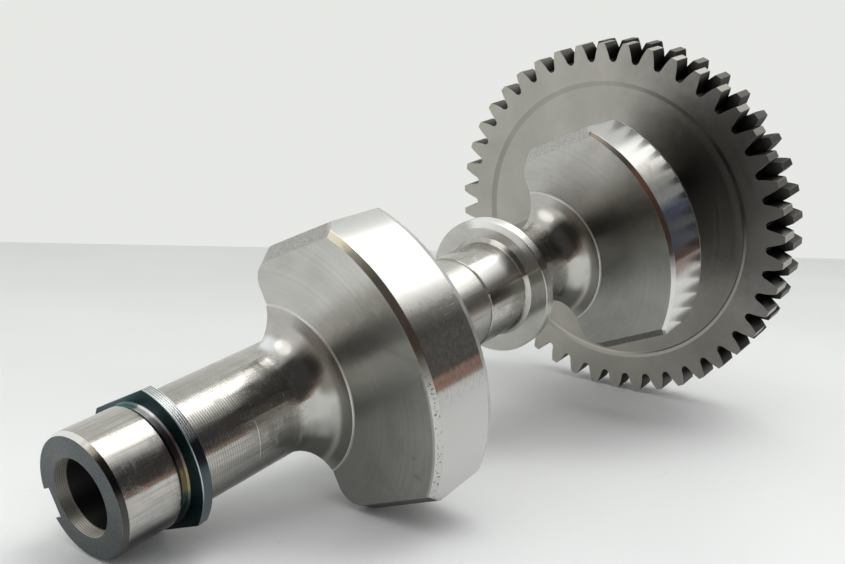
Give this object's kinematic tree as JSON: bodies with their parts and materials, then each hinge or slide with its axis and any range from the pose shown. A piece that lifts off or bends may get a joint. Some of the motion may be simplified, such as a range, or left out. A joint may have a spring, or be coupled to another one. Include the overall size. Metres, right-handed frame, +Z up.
{
  "type": "balance shaft",
  "caption": "Engine balance shaft with one-sided weights, polished journals, a flange, a collar and a pressed-on gear with two rows of teeth, lying on the floor.",
  "frame": {"origin": "centre of the bounding box on the floor", "axes": "+Z up; +X along the shaft on the floor, from the front end to the gear; the weights lie towards -Y. The shaft's axis rises 12.6 degrees towards the gear"},
  "size_m": [0.2794, 0.1426, 0.1431],
  "materials": {
    "balance_shaft": "turned and polished, forged skin on the sides of the weights",
    "gear": "satin grey steel"
  },
  "bodies": {
    "root": {"balance_shaft": "balance_shaft", "gear": "gear"}
  },
  "joints": []
}
